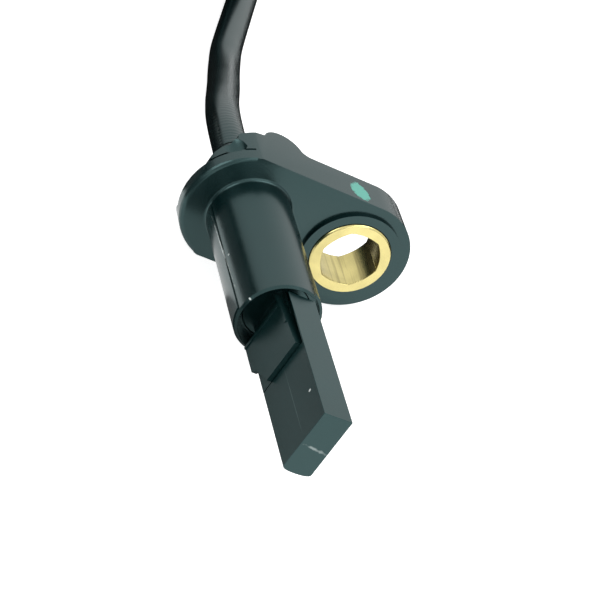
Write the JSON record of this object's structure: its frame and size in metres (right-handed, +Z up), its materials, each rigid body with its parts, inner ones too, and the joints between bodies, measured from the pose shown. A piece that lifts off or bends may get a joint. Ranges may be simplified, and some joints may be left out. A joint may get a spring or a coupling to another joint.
{
  "type": "abs wheel speed sensor",
  "caption": "Wheel speed sensor: a flat sensing blade on a round shaft, a flange with a bushed bolt ear, and a moulded cable that is coiled up and ends in a plug.",
  "frame": {"origin": "on the floor, under the middle of the sensor itself, its cable and plug not counted", "axes": "+Y from the blade's tip to the cable exit, along the shaft; +X from the shaft to the bolt; +Z up, the flange lying on its flat side on z = 0"},
  "size_m": [0.059, 0.1815, 0.0167],
  "materials": {
    "body": "satin black moulded plastic",
    "bush": "bright turned",
    "carrier": "satin black moulded plastic",
    "chip": "matt black epoxy",
    "magnet": "plated",
    "capacitor": "brown epoxy",
    "lead": "stamped strip",
    "crimp": "tinned",
    "core_dark": "smooth insulation",
    "core_brown": "smooth insulation",
    "jacket": "glossy black jacket",
    "anchor": "matt black",
    "tie": "matt black strap",
    "plug": "satin black moulded plastic",
    "seal": "matt red-brown",
    "lock": "satin pale grey",
    "boot": "matt black",
    "terminal": "tinned brass"
  },
  "bodies": {
    "root": {"sensor_body": "body", "bolt_bush": "bush", "probe_carrier": "carrier", "carrier_cover": "carrier", "sensing_chip": "chip", "bias_magnet": "magnet", "capacitor": "capacitor", "lead_supply": "lead", "crimp_supply": "crimp", "core_supply": "core_dark", "lead_signal": "lead", "crimp_signal": "crimp", "core_signal": "core_brown", "cable_anchor": "anchor", "cable_run": "jacket", "cable_tail": "jacket", "cable_coil": "jacket", "coil_tie_right": "tie", "coil_tie_left": "tie", "plug_housing": "plug", "plug_seal": "seal", "plug_lock": "lock", "plug_boot": "boot", "plug_terminal_supply": "terminal", "plug_core_supply": "core_dark", "plug_terminal_signal": "terminal", "plug_core_signal": "core_brown"}
  },
  "joints": []
}
